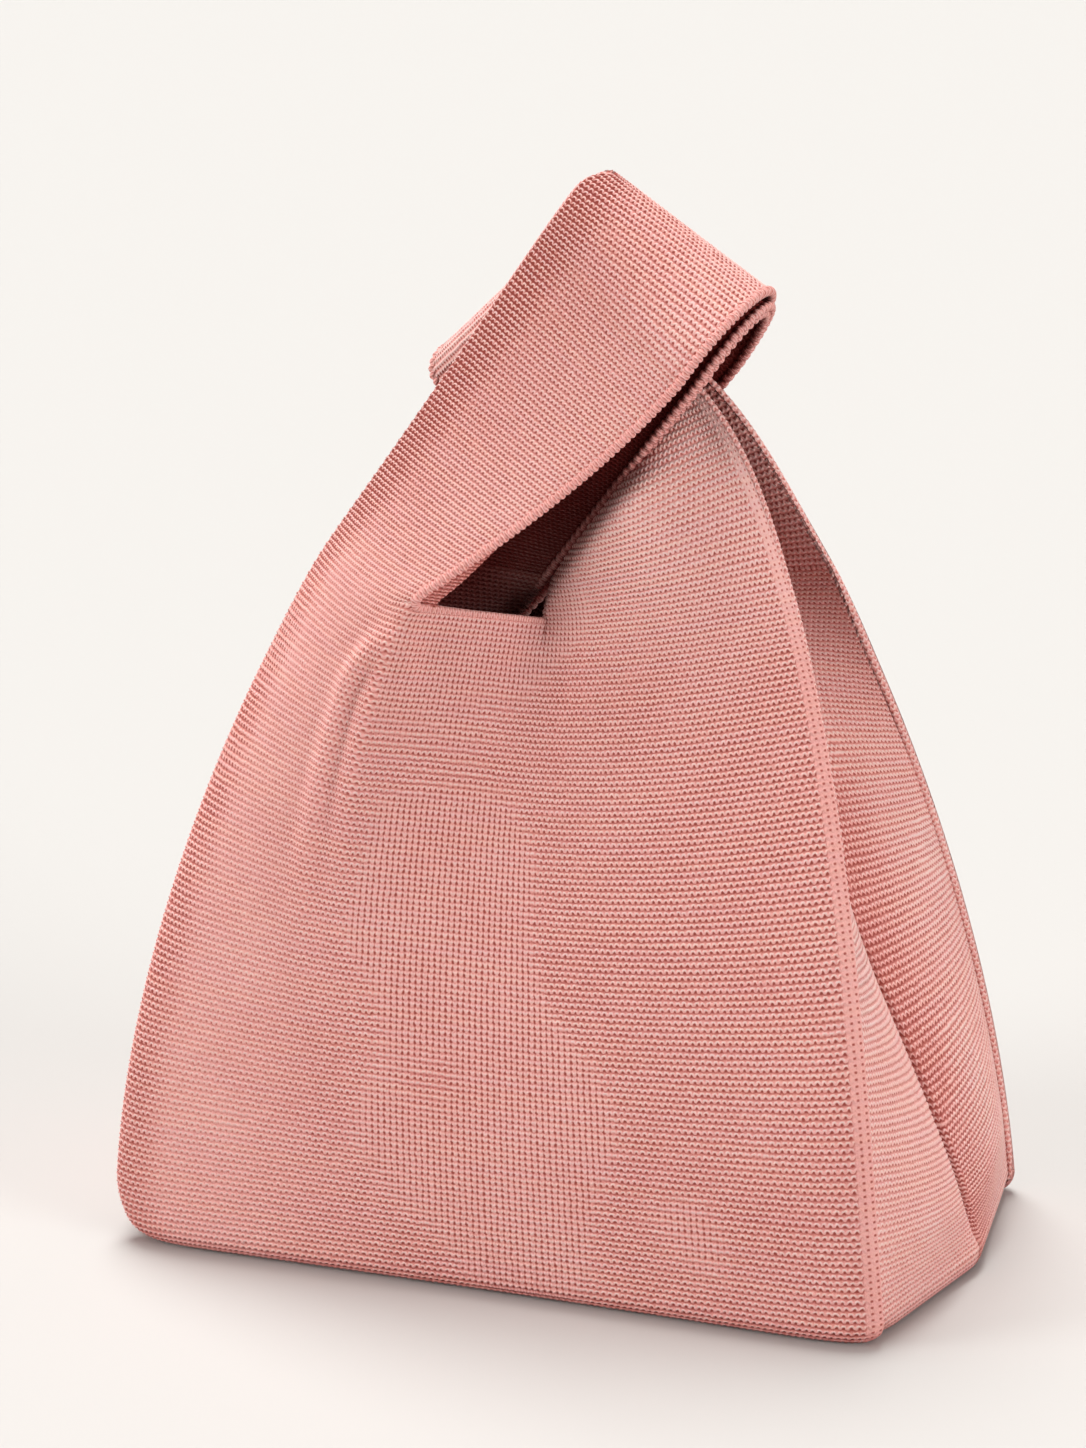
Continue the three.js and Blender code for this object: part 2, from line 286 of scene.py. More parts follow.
def strap_over(leg, width, profile, place, u, leg_rows, fold_rows):
    rise = np.arange(steps_per_row * leg_rows + 1)[:, None] / (steps_per_row * leg_rows)
    lower = leg(np.broadcast_to(u, (len(rise), len(u))), np.broadcast_to(rise, (len(rise), len(u))))
    corner_radius, corner_share = 8, 0.3
    columns = []
    for share in u:
        below, depth = profile(share)
        length = np.r_[0, np.cumsum(np.hypot(np.diff(below), np.diff(depth)))]
        at = np.arange(1, steps_per_row * fold_rows + 1) / (steps_per_row * fold_rows) * length[-1]
        down = np.interp(at, length, below)
        from_top = np.clip(1 - (down - below[-1]) / corner_radius, 0, 1)
        rounding = corner_radius * (1 - np.sqrt(1 - from_top**2))
        inset = rounding * np.clip(1 - share / corner_share, 0, 1) ** 2
        columns.append(place(down, width * share + inset, -np.interp(at, length, depth)))
    half = np.vstack([lower, np.stack(columns, 1)])
    return np.vstack([half, mirrored(half[:-1][::-1])])


def settled(grid):
    soft_corner_height, soft_corner_pull = 26, 10
    near_left_end = ease(95, 150, -grid[..., 0])
    moved = grid.copy()
    low_down = np.clip(1 - grid[..., 2] / soft_corner_height, 0, 1) ** 2
    moved[..., 0] += soft_corner_pull * near_left_end * low_down
    return moved


wale = np.arange(steps_per_wale * wales + 1) / steps_per_wale
row = np.arange(steps_per_row * panel_rows + 1) / steps_per_row
across = wale / wales
corner, notch = corner_wale / wales, notch_wale / wales
corner_spot = left_handle(np.array(1.0), np.array(0.0))
notch_spot = right_handle(np.array(0.0), np.array(0.0))
rim_share = np.clip((across - corner) / (notch - corner), 0, 1)
top = mix(corner_spot, notch_spot, rim_share[:, None])
on_left, on_right = across <= corner, across >= notch
top[on_left] = left_handle(across[on_left] / corner, np.zeros(on_left.sum()))
top[on_right] = right_handle((across[on_right] - notch) / (1 - notch), np.zeros(on_right.sum()))
foot_width, foot_shift, foot_radius = 304.5, -0.75, 7.0
foot_height = foot_radius + 1.5
from_end = foot_width * np.minimum(across, 1 - across)
foot_y = -90 - 6 * across**3 + 10 * np.exp(-from_end / 9)
foot = np.stack([(across - 0.5) * foot_width + foot_shift, foot_y, 0 * across + foot_height], -1)
belly = -3.5 + 6 * across**2 - 2.5 * bow(across)
low = foot + np.stack([mix(3.5, -8, across), belly, 0.34 * (top[:, 2] - foot_height)], -1)
hang_below_top = (
    (-37, -24, -68),
    (-26, -16, -74),
    (-9, -22, -71),
    (6, -33, -70),
    (20, -29, -70),
    (29.5, -19, -66),
)
hang = line_through(hang_below_top, np.interp(across, [0, corner, notch, 1], [0, 0.2, 0.55, 1]))
spread_reach = 30
spread = np.exp(-((np.arange(-spread_reach, spread_reach + 1) / 13) ** 2))
spread /= spread.sum()
widened = np.pad(top + hang, ((spread_reach, spread_reach), (0, 0)), mode="reflect", reflect_type="odd")
high = smoothed(widened, spread)
rise = np.clip((row - roll_rows) / (panel_rows - roll_rows), 0, 1)
panel = curve(foot[None], low[None], high[None], top[None], rise[:, None])
sideways = np.sign(across - 0.5) * np.clip(1 - from_end / 14, 0, 1) ** 2
outward = np.stack([sideways, -np.ones_like(across), 0 * across], -1)
outward /= np.linalg.norm(outward, axis=1, keepdims=True)
tuck = np.clip(1 - row / roll_rows, 0, 1) * np.pi / 2
panel -= foot_radius * (1 - np.cos(tuck))[:, None, None] * outward[None]
panel[..., 2] -= foot_radius * np.sin(tuck)[:, None]
panel = settled(panel)
corner_column, notch_column = steps_per_wale * corner_wale, steps_per_wale * notch_wale
left_columns = slice(0, corner_column + 1)
right_columns = slice(notch_column, steps_per_wale * wales + 1)
left_u = np.arange(corner_column + 1) / corner_column
right_u = np.arange(len(wale) - notch_column) / (len(wale) - 1 - notch_column)


def left_fold(u):
    return arch(bend_end, 1.5, mix(outer_fold_depth, neck_fold_depth, u))


def right_fold(u):
    return flat_fold(tip_length, tip_axis, 2 * layer)


left_strap = strap_over(
    left_handle, loop_width, left_fold, on_loop, left_u, left_leg_rows, left_fold_rows
)
right_strap = strap_over(
    right_handle, tip_width, right_fold, on_tip, right_u, right_leg_rows, right_fold_rows
)


def ease_join(sheet, strap, columns, fade):
    reach, width, passes = 120, 34, 400
    joined = np.vstack([sheet[-reach:, columns], strap[1:reach]])
    rows = np.arange(len(joined))[:, None]
    weight = (np.exp(-(((rows - reach + 1) / width) ** 2)) * fade[None])[..., None]
    for _ in range(passes):
        joined[1:-1] += 0.5 * weight[1:-1] * (0.5 * (joined[2:] + joined[:-2]) - joined[1:-1])
    sheet[-reach:, columns] = joined[:reach]
    strap[:reach] = joined[reach - 1 :]


def round_corner(sheet, strap, column, reach, passes):
    spot, k, rows = sheet[-1, column].copy(), 26, 80
    a, b = sheet[-rows:, column - k : column + k + 1], strap[:rows, column - k : column + 1]
    near_a = np.exp(-np.sum((a - spot) ** 2, -1) / reach**2)[..., None]
    near_b = np.exp(-np.sum((b - spot) ** 2, -1) / reach**2)[..., None]
    for _ in range(passes):
        even_a, even_b = a.copy(), b.copy()
        even_a[1:-1, 1:-1] = (a[:-2, 1:-1] + a[2:, 1:-1] + a[1:-1, :-2] + a[1:-1, 2:]) / 4
        even_a[-1, 1:k] = (a[-1, : k - 1] + a[-1, 2 : k + 1] + a[-2, 1:k] + b[1, 1:k]) / 4
        even_a[-1, k] = (a[-1, k + 1] + b[1, k]) / 2
        even_a[-1, k + 1 : -1] = (a[-1, k:-2] + a[-1, k + 2 :]) / 2
        even_b[1:-1, 1:-1] = (b[:-2, 1:-1] + b[2:, 1:-1] + b[1:-1, :-2] + b[1:-1, 2:]) / 4
        even_b[1:-1, -1] = (b[:-2, -1] + b[2:, -1]) / 2
        a += 0.6 * near_a * (even_a - a)
        b += 0.6 * near_b * (even_b - b)
        b[0] = a[-1, : k + 1]


near_notch = np.arange(notch_column - 50, notch_column + 51)
beside_notch = panel[:, near_notch[0] - spread_reach : near_notch[-1] + spread_reach + 1]
evened = smoothed(beside_notch, spread, axis=1)
below_rim = ease(0, 28, np.arange(len(row))[::-1])[:, None]
softness = np.exp(-(((near_notch - notch_column) / 24) ** 2))[None] * below_rim
panel[:, near_notch] += softness[..., None] * (evened - panel[:, near_notch])
ease_join(panel, left_strap, left_columns, ease(0, 0.2, 1 - left_u))
ease_join(panel, right_strap, right_columns, ease(0, 0.2, right_u))
round_corner(panel, left_strap, corner_column, reach=9, passes=160)
for strap in (left_strap, right_strap):
    half = len(strap) // 2
    strap[half + 1 :] = mirrored(strap[:half][::-1])


def pleat(rises, places, begin_full_end, height, width):
    begin, full_from, full_to, end = begin_full_end
    middle = np.interp(rise, rises, places)[:, None] * foot_width
    strength = ease(begin, full_from, rise) * (1 - ease(full_to, end, rise))
    return height * strength[:, None] * np.exp(-(((foot_width * across[None, :] - middle) / width) ** 2))


pleats = (
    ([0.55, 0.66, 0.78, 0.87, 0.955], [0.254, 0.254, 0.254, 0.256, 0.296], (0.34, 0.68, 0.9, 0.99), 3.4, 8.0),
    ([0.69, 0.763, 0.815, 0.933], [0.311, 0.312, 0.316, 0.325], (0.5, 0.74, 0.9, 0.98), 2.4, 9.0),
    ([0.65, 0.754, 0.846, 0.915], [0.275, 0.278, 0.28, 0.311], (0.4, 0.74, 0.86, 0.95), -1.7, 6.0),
    ([0.82, 0.9, 0.95, 1.0], [0.361, 0.356, 0.343, 0.322], (0.7, 0.88, 1.1, 1.2), 1.2, 7.5),
)
creases = sum(pleat(*one) for one in pleats)
edge_tuck_depth, edge_tuck_width = 1.3, 4.5
edge_tuck = edge_tuck_depth * np.clip(1 - from_end / edge_tuck_width, 0, 1)[None, :] ** 2
edge_tuck = edge_tuck * (1 - ease(0.8, 1.0, rise))[:, None]
panel += facing(panel) * (creases - edge_tuck)[..., None]
panel_facing = facing(panel)


def stitches(wale, row):
    bent = np.cos(2 * np.pi * wale) * np.cos(np.pi * (row + 0.15))
    return np.cos(2 * np.pi * (row + 0.25 * bent))


def dressed(middle, wale, row, side, relief=1.0):
    normal = side * facing(middle)
    height = half_thickness + relief_height * relief * stitches(wale[None, :], row[:, None])
    outer = middle + normal * height[..., None]
    return normal, outer, side * facing(outer)


class Yarn(Wiring):
    """The nodes of one yarn: the stitch it is at, and the waves, steps and noise that draw its tone."""

    def __init__(self, tree):
        super().__init__(tree)
        self.place = self.node("ShaderNodeTexCoord").outputs["Object"]
        stitch = self.node("ShaderNodeSeparateXYZ")
        self.link(self.node("ShaderNodeUVMap", uv_map="stitch").outputs[0], stitch.inputs[0])
        self.wale, self.row = stitch.outputs[0], stitch.outputs[1]
        self.loose_wale = self.maths("ADD", self.wale, self.noise(290, 2, 0.55))
        self.loose_row = self.maths("ADD", self.row, self.noise(330, 2, 0.5))

    def wave(self, turns, value, shift=0.0):
        angle = self.maths("MULTIPLY_ADD", value, 2 * np.pi * turns, 2 * np.pi * turns * shift)
        return self.maths("COSINE", angle)

    def step_up(self, low, high, value):
        made = self.node("ShaderNodeMapRange", interpolation_type="SMOOTHSTEP")
        made.inputs["From Min"].default_value = low
        made.inputs["From Max"].default_value = high
        self.link(value, made.inputs["Value"])
        return made.outputs[0]

    def noise(self, scale, detail, size, vector=None):
        made = self.node("ShaderNodeTexNoise")
        made.inputs["Scale"].default_value = scale
        made.inputs["Detail"].default_value = detail
        self.link(vector or self.place, made.inputs["Vector"])
        return self.maths("MULTIPLY_ADD", made.outputs["Fac"], size, -size / 2)

    def product(self, a, b):
        return self.maths("MULTIPLY", a, b)

    def above_zero(self, value):
        return self.maths("MAXIMUM", value, 0.0)

    def rest_of(self, share):
        return self.maths("SUBTRACT", 1.0, share)

    def added(self, base, value, amount):
        return self.maths("MULTIPLY_ADD", value, amount, base)

    def ramp(self, stops, value):
        made = self.node("ShaderNodeValToRGB")
        for i, (at, colour) in enumerate(stops):
            stop = made.color_ramp.elements[i] if i < 2 else made.color_ramp.elements.new(at)
            stop.position = at
            stop.color = (*colour, 1)
        self.link(value, made.inputs[0])
        return made.outputs[0]

    def tinted(self, colour, tint):
        made = self.node("ShaderNodeMix", data_type="RGBA", blend_type="MULTIPLY")
        made.inputs["Factor"].default_value = 1.0
        self.link(colour, made.inputs["A"])
        self.link(tint, made.inputs["B"])
        return made.outputs["Result"]

    def upright_columns(self, on_panel):
        patches = self.noise(14, 1, 1.0)
        if not on_panel:
            return self.step_up(0.06, 0.16, patches)
        from_left, past_right = self.step_up(34.0, 56.0, self.wale), self.step_up(66.0, 90.0, self.wale)
        middle = self.maths("SUBTRACT", from_left, past_right)
        patches = self.added(self.maths("ADD", patches, -0.08), middle, 0.3)
        from_corner = self.step_up(corner_wale, corner_wale + 2.0, self.wale)
        to_notch = self.rest_of(self.step_up(notch_wale - 20.0, notch_wale, self.wale))
        under_rim = self.product(from_corner, to_notch)
        at_neck = self.product(self.step_up(panel_rows - 34.0, panel_rows - 10.0, self.row), under_rim)
        return self.maths("MAXIMUM", self.step_up(0.06, 0.16, patches), at_neck)

    def panel_tone(self, tone, in_columns):
        # In the upright columns the row tone is flattened and dark gaps run between the columns: stitch
        # pattern, with painted shade in the gaps.
        gaps = self.product(self.above_zero(self.wave(1, self.loose_wale, 0.5)), in_columns)
        tone = self.product(tone, self.added(1.0, in_columns, -0.35))
        tone = self.added(self.added(tone, gaps, -0.46), in_columns, 0.11)
        inside = self.maths("SUBTRACT", float(wales), self.wale)
        edging = self.rest_of(self.step_up(1.9, 2.3, inside))
        edge_columns = self.above_zero(self.wave(1 / 0.95, inside, -0.35))
        holes = self.product(edge_columns, self.above_zero(self.wave(1, self.row)))
        linked = self.added(0.04, holes, -0.55)
        tone = self.added(tone, self.maths("SUBTRACT", linked, tone), edging)
        # Left of the fold, below the handle, the stitch contrast is muted and the tone lifted: painted light
        # on the side that turns to the left lamp.
        right_of_fold = self.step_up(0.1 * wales, 0.45 * wales, self.wale)
        on_handle = self.step_up(0.94 * panel_rows, 1.15 * panel_rows, self.row)
        unmuted_unlit = self.added(0.55, self.maths("MAXIMUM", right_of_fold, on_handle), 0.45)
        tone = self.added(self.product(tone, unmuted_unlit), self.rest_of(unmuted_unlit), 0.14)
        turned_edge = self.rest_of(self.step_up(2.0, 11.0, self.wale))
        tone = self.product(tone, self.added(1.0, turned_edge, 1.0))
        tone = self.added(tone, turned_edge, -0.2)
        # Painted light: the band at the top of the left handle is lighter.
        band_painted_light = self.step_up(1.0 * panel_rows, 1.2 * panel_rows, self.row)
        tone = self.added(tone, self.product(self.step_up(8, 34, self.wale), band_painted_light), 0.08)
        # Painted light: the right handle above the notch is lighter, where the band shades it from the lamps.
        right_of_notch = self.step_up(notch_wale - 8.0, notch_wale + 14.0, self.wale)
        from_notch_up = self.step_up(0.86 * panel_rows, 1.05 * panel_rows, self.row)
        return self.added(tone, self.product(right_of_notch, from_notch_up), 0.1)


# shade gives the openness range over which the painted shade fades out, depth the painted shade colour, and
# lift raises or lowers the whole tone.
def yarn_material(name, contrast, lift, shade, depth, sheen=0.08, on_panel=False, valley_shade=0.0):
    material = bpy.data.materials.new(name)
    material.use_nodes = True
    yarn = Yarn(material.node_tree)
    in_columns = yarn.upright_columns(on_panel)
    brick = yarn.wave(0.5, yarn.loose_row, 0.15)
    brick = yarn.added(brick, yarn.maths("SUBTRACT", 0.65, brick), in_columns)
    bent = yarn.product(yarn.wave(1, yarn.loose_wale), brick)
    ridge = yarn.wave(1, yarn.added(yarn.loose_row, bent, 0.25))
    crest, trough = yarn.above_zero(ridge), yarn.above_zero(yarn.product(ridge, -1.0))
    under_arch = yarn.above_zero(yarn.product(bent, -1.0))
    # The stitch tone is lighter on the crests of the rows and darker in the troughs and under the arches: the
    # yarn's own pattern, with painted shade in its hollows.
    tone = yarn.product(ridge, yarn.maths("ADD", yarn.noise(190, 1, 0.3), 0.3))
    tone = yarn.added(tone, yarn.product(bent, crest), -0.26)
    tone = yarn.added(tone, yarn.product(under_arch, trough), -0.34)
    if on_panel:
        tone = yarn.panel_tone(tone, in_columns)
    tone = yarn.added(0.57 + lift, tone, contrast)
    # Painted shade: towards the valley the back halves of the gussets are darker, under the lip of the front
    # half.
    if valley_shade:
        tone = yarn.added(tone, yarn.step_up(12.0, 37.0, yarn.wale), -valley_shade)
    fuzz = yarn.noise(1700, 3, 1.0)
    tone = yarn.maths("ADD", yarn.added(tone, fuzz, 0.42), yarn.noise(28, 2, 0.16))
    pinks = (
        (0.0, (0.36, 0.075, 0.06)),
        (0.3, (0.63, 0.215, 0.185)),
        (0.62, (0.88, 0.425, 0.385)),
        (1.0, (0.94, 0.66, 0.615)),
    )
    by_row = yarn.node("ShaderNodeCombineXYZ")
    yarn.link(yarn.product(yarn.loose_wale, 0.04), by_row.inputs[0])
    yarn.link(yarn.product(yarn.loose_row, 0.55), by_row.inputs[1])
    heather = yarn.maths("ADD", yarn.noise(1.0, 2, 1.0, by_row.outputs[0]), 0.5)
    cool_and_warm = ((0.35, (0.985, 0.985, 1.015)), (0.65, (1.0, 1.005, 0.98)))
    colour = yarn.tinted(yarn.ramp(pinks, tone), yarn.ramp(cool_and_warm, heather))
    # Painted shade: where little open air lies within 5 cm, the colour is multiplied towards the depth
    # colour, so recesses, gaps under parts and the inside of the bag are darker.
    hollow = yarn.node("ShaderNodeAmbientOcclusion", samples=6)
    hollow.inputs["Distance"].default_value = 0.05
    painted_shade = yarn.node("ShaderNodeMix", data_type="RGBA")
    yarn.link(yarn.step_up(*shade, hollow.outputs["AO"]), painted_shade.inputs["Factor"])
    painted_shade.inputs["A"].default_value = (*depth, 1)
    painted_shade.inputs["B"].default_value = (1, 1, 1, 1)
    shader = material.node_tree.nodes["Principled BSDF"]
    yarn.link(yarn.tinted(colour, painted_shade.outputs["Result"]), shader.inputs["Base Color"])
    bump = yarn.node("ShaderNodeBump")
    bump.inputs["Strength"].default_value = 0.4
    bump.inputs["Distance"].default_value = 0.0006
    yarn.link(yarn.added(ridge, fuzz, 1.2), bump.inputs["Height"])
    yarn.link(bump.outputs[0], shader.inputs["Normal"])
    shader.inputs["Roughness"].default_value = 0.92
    shader.inputs["Specular IOR Level"].default_value = 0.15
    shader.inputs["Sheen Weight"].default_value = sheen
    shader.inputs["Sheen Roughness"].default_value = 0.55
    shader.inputs["Sheen Tint"].default_value = (1.0, 0.86, 0.83, 1)
    return material


# The panel knit's painted shade deepens and reddens its hollows a little. The next yarn is the same knit
# darkened almost everywhere by painted shade, for the linings and the inner faces inside the bag.
knit = yarn_material("knit", 1.2, 0.012, (0.05, 0.5), (0.82, 0.52, 0.5), on_panel=True)
shaded_inside_yarn = yarn_material("shaded_inside_yarn", 0.9, 0.0, (0.45, 1.05), (0.18, 0.036, 0.032), sheen=0.0)


def make_piece(name, points, quads, rims, stitch_at, material, shade=None, inside_from=None):
    mesh = bpy.data.meshes.new(name)
    corners = np.concatenate([np.ravel(quads)] + [np.array(r) for r in rims]).astype(np.int32)
    sizes = np.array([4] * len(quads) + [len(r) for r in rims])
    starts = np.concatenate([[0], np.cumsum(sizes)[:-1]])
    mesh.vertices.add(len(points))
    mesh.vertices.foreach_set("co", (points / 1000).astype(np.float32).ravel())
    mesh.loops.add(len(corners))
    mesh.loops.foreach_set("vertex_index", corners)
    mesh.polygons.add(len(sizes))
    mesh.polygons.foreach_set("loop_start", starts.astype(np.int32))
    mesh.polygons.foreach_set("use_smooth", np.arange(len(sizes)) < len(quads))
    stitch_layer = mesh.uv_layers.new(name="stitch")
    by_corner = stitch_at[corners] if len(stitch_at) == len(points) else stitch_at
    stitch_layer.data.foreach_set("uv", by_corner.astype(np.float32).ravel())
    mesh.update(calc_edges=True)
    if shade is not None:
        mesh.normals_split_custom_set_from_vertices(shade.astype(np.float32))
    mesh.materials.append(material)
    # The inner faces take the yarn darkened by painted shade.
    if inside_from is not None:
        mesh.materials.append(shaded_inside_yarn)
        order = np.arange(len(sizes))
        inside_faces = (order >= inside_from) & (order < len(quads))
        mesh.polygons.foreach_set("material_index", inside_faces.astype(np.int32))
    piece = bpy.data.objects.new(name, mesh)
    bpy.context.scene.collection.objects.link(piece)
    return piece


def knit_layer(name, middle, wale, row, side, relief=1.0, given=None, material=knit):
    rows, columns = middle.shape[:2]
    normal, outer, shade = dressed(middle, wale, row, side, relief) if given is None else given
    down = np.unique(np.r_[np.arange(0, rows - 1, 8), rows - 1])
    over = np.unique(np.r_[np.arange(0, columns - 1, 4), columns - 1])
    inner = (middle - half_thickness * normal)[np.ix_(down, over)]
    shade = np.vstack([shade.reshape(-1, 3), -normal[np.ix_(down, over)].reshape(-1, 3)])
    stitch_at = np.stack(np.meshgrid(wale, row), -1)
    here = np.arange(rows * columns).reshape(rows, columns)
    there = rows * columns + np.arange(len(down) * len(over)).reshape(len(down), len(over))
    front = np.stack([here[:-1, :-1], here[:-1, 1:], here[1:, 1:], here[1:, :-1]], -1).reshape(-1, 4)
    back = np.stack([there[:-1, :-1], there[1:, :-1], there[1:, 1:], there[:-1, 1:]], -1).reshape(-1, 4)
    rims = []
    for k in range(len(over) - 1):
        a, b = over[k], over[k + 1]
        rims.append([*here[0, a : b + 1][::-1], there[0, k], there[0, k + 1]])
        rims.append([*here[-1, a : b + 1], there[-1, k + 1], there[-1, k]])
    for k in range(len(down) - 1):
        a, b = down[k], down[k + 1]
        rims.append([*here[a : b + 1, 0], there[k + 1, 0], there[k, 0]])
        rims.append([*here[a : b + 1, -1][::-1], there[k, -1], there[k + 1, -1]])
    quads = np.vstack([front, back])
    if side < 0:
        quads = quads[:, ::-1]
        rims = [r[::-1] for r in rims]
    points = np.vstack([outer.reshape(-1, 3), inner.reshape(-1, 3)])
    stitch_at = np.vstack([stitch_at.reshape(-1, 2), stitch_at[np.ix_(down, over)].reshape(-1, 2)])
    return make_piece(name, points, quads, rims, stitch_at, material, shade, len(front))


def full_loop(strap, columns):
    return np.vstack([panel[:, columns], strap[1:-1], mirrored(panel[::-1, columns])])


def rows_of(strap):
    return panel_rows + np.arange(len(strap)) / steps_per_row


edge_fade = ease(1.2, 2.3, wales - wale)[None, :]
front_dress = dressed(panel, wale, row, 1, edge_fade)
dresses = {}
for name, strap, columns in (("left", left_strap, left_columns), ("right", right_strap, right_columns)):
    loop = full_loop(strap, columns)
    whole = dressed(loop, wale[columns], np.arange(len(loop)) / steps_per_row, 1, edge_fade[:, columns])
    dresses[name] = [part[len(row) - 1 : len(row) - 1 + len(strap)] for part in whole]
    for part, joined in zip(front_dress, whole):
        part[-1, columns] = joined[len(row) - 1]
front_panel = knit_layer("front_panel_knit", panel, wale, row, 1, given=front_dress)
back_dress = [mirrored(part) for part in front_dress]
back_panel = knit_layer("back_panel_knit", mirrored(panel), wale, row, -1, given=back_dress)
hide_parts("front_panel")
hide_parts("back_panel")
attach(front_panel, "bag")
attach(back_panel, "bag")
left_wale, right_wale = wale[left_columns], wale[right_columns]
left_rows = rows_of(left_strap)
left_outer = knit_layer("left_handle_knit", left_strap, left_wale, left_rows, 1, given=dresses["left"])
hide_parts("left_handle_front", "left_handle_bend_front", "left_handle_top")
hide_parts("left_handle_bend_back", "left_handle_back")
bend_from, bend_to = on_loop(66.0, 38.5, 0.0) / 1000, on_loop(12.0, 38.5, 0.0) / 1000
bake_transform(left_outer)
right_rows = rows_of(right_strap)
right_outer = knit_layer("right_handle_knit", right_strap, right_wale, right_rows, 1, given=dresses["right"])
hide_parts("right_handle_front", "right_handle_tip", "right_handle_back")
draw_from, draw_to = on_tip(95.0, 32.0, 0.0) / 1000, on_tip(25.0, 32.0, 0.0) / 1000
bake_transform(right_outer)

# Gussets and handle linings: each gusset is two halves of the same knit that fold in to a valley.
# Each half runs up into the inner layer of a handle, and its shown side is the outside of the bag.
# A thin linked seam lies in each valley.
half_wales = 38
half_wale = np.arange(steps_per_wale * half_wales + 1) / steps_per_wale
half_u = half_wale / half_wales
lining_width, outer_lining_depth, neck_lining_depth = 79.5, 9.9, 22
lining_fold_rows = 17
# The gusset yarn is the knit made lighter: painted light on the sides of the bag. Its copy for the back
# halves adds painted shade towards the valley, and each yarn here darkens its hollows with painted shade.
gusset_shade, gusset_shade_colour = (0.1, 0.6), (0.5, 0.28, 0.26)
gusset_yarn = yarn_material("gusset_yarn", 0.9, 0.13, gusset_shade, gusset_shade_colour, sheen=0.12)
valley_shaded_yarn = yarn_material("valley_shaded_yarn", 1.15, 0.13, gusset_shade, gusset_shade_colour, sheen=0.12, valley_shade=0.34)
chain_yarn = yarn_material("chain_yarn", 0.6, 0.03, (0.12, 0.55), (0.3, 0.12, 0.11))


def left_lining(u, v):
    t = 1 - v
    below = mix(bend_end, mix(174, 0.75 * loop_length, u), t)
    depth = mix(outer_lining_depth, neck_lining_depth, u)
    return on_loop(below, mix(lining_width, 73, t) * u, -depth - mix(5.7, -7, u) * t * t)


def right_lining(u, v):
    spot = right_handle(u, v)
    spot[..., 1] += layer
    return spot


def left_lining_fold(u):
    return arch(bend_end, 6, mix(outer_lining_depth, neck_lining_depth, u))


def right_lining_fold(u):
    return flat_fold(tip_length, tip_axis, layer)


def rope(name, path, radius_at, round_steps, stitch_rows, wales_round, material):
    count = len(path)
    along = np.gradient(path, axis=0)
    along /= np.linalg.norm(along, axis=1, keepdims=True)
    out = np.zeros_like(path)
    first = np.cross(along[0], [0.3, 0.2, 1.0] if abs(along[0][2]) < 0.9 else [1.0, 0.2, 0])
    out[0] = first / np.linalg.norm(first)
    for i in range(1, count):
        turned = out[i - 1] - along[i] * (out[i - 1] @ along[i])
        out[i] = turned / np.linalg.norm(turned)
    over = np.cross(along, out)
    angle = np.arange(round_steps) * 2 * np.pi / round_steps
    radius = radius_at(stitch_rows[:, None], angle[None, :])
    ring = np.cos(angle)[None, :, None] * out[:, None] + np.sin(angle)[None, :, None] * over[:, None]
    points = (path[:, None] + ring * radius[..., None]).reshape(-1, 3)
    here = np.arange(count * round_steps).reshape(count, round_steps)
    beside = np.roll(here, -1, axis=1)
    quads = np.stack([here[:-1], beside[:-1], beside[1:], here[1:]], -1).reshape(-1, 4)
    turn = np.arange(round_steps + 1) / round_steps * wales_round
    grid = np.stack(np.meshgrid(turn, stitch_rows), -1)
    corners = np.stack([grid[:-1, :-1], grid[:-1, 1:], grid[1:, 1:], grid[1:, :-1]], 2).reshape(-1, 2)
    caps = [list(here[0][::-1]), list(here[-1])]
    cap_stitches = [np.tile(grid[end, 0], (round_steps, 1)) for end in (0, -1)]
    return make_piece(name, points, quads, caps, np.vstack([corners, *cap_stitches]), material)


def seam_radius(s, a):
    return 0.7 + 0.15 * np.cos(np.pi * s + a)


left_inner = strap_over(
    left_lining, lining_width, left_lining_fold, on_loop, half_u, left_leg_rows, lining_fold_rows
)
right_inner = strap_over(
    right_lining, tip_width, right_lining_fold, on_tip, half_u, right_leg_rows, lining_fold_rows
)
lining_row = rows_of(left_inner)
lining_left = knit_layer("left_lining_knit", left_inner, half_wale, lining_row, 1, material=shaded_inside_yarn)
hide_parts("left_lining_front", "left_lining_bend_front", "left_lining_top")
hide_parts("left_lining_bend_back", "left_lining_back")
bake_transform(lining_left)
lining_row = rows_of(right_inner)
lining_right = knit_layer("right_lining_knit", right_inner, half_wale, lining_row, -1, material=gusset_yarn)
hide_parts("right_lining_front", "right_lining_tip", "right_lining_back")
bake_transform(lining_right)
valleys = {}
foot_row, gap_row, seam_start = steps_per_row * roll_rows, steps_per_row * 99, steps_per_row
gusset_inset, lip_depth, lip_share, lip_turn, gusset_fullness = 2.6, 3.2, 0.87, 12, 4.5
half_length, gusset_under = 86, 3
v = rise[:, None, None]
open_share = 1 - v**4
reach = np.clip(half_u / lip_share, 0, 1)[None, :, None]
turned_in = np.clip((half_u - lip_share) / (1 - lip_share), 0, 1)[None, :, None]
